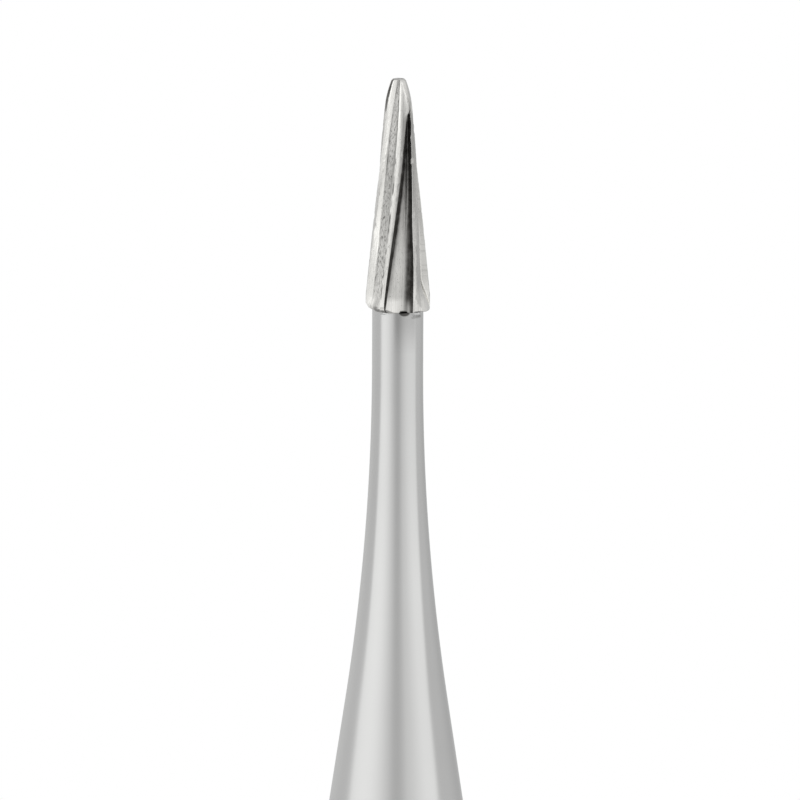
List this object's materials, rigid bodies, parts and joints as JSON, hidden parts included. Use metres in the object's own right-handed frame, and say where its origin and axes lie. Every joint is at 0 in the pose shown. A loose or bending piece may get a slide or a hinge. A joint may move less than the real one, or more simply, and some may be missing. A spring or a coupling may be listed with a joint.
{
  "type": "dental bur",
  "caption": "Tapered dental bur: a fluted carbide cutting head with a blunt tip on a slim steel neck that flares to a plain straight shank for a handpiece chuck.",
  "frame": {"origin": "centre of the shank's flat end face", "axes": "+Z along the bur's axis towards the tip; -Y is the side that the picture shows"},
  "size_m": [0.0024, 0.0024, 0.0445],
  "materials": {
    "carbide": "ground tungsten carbide, bright blade lands and dull dark flutes",
    "stainless_steel": "fine turned satin"
  },
  "bodies": {
    "root": {"cutting_head": "carbide", "shank": "stainless_steel"}
  },
  "joints": []
}
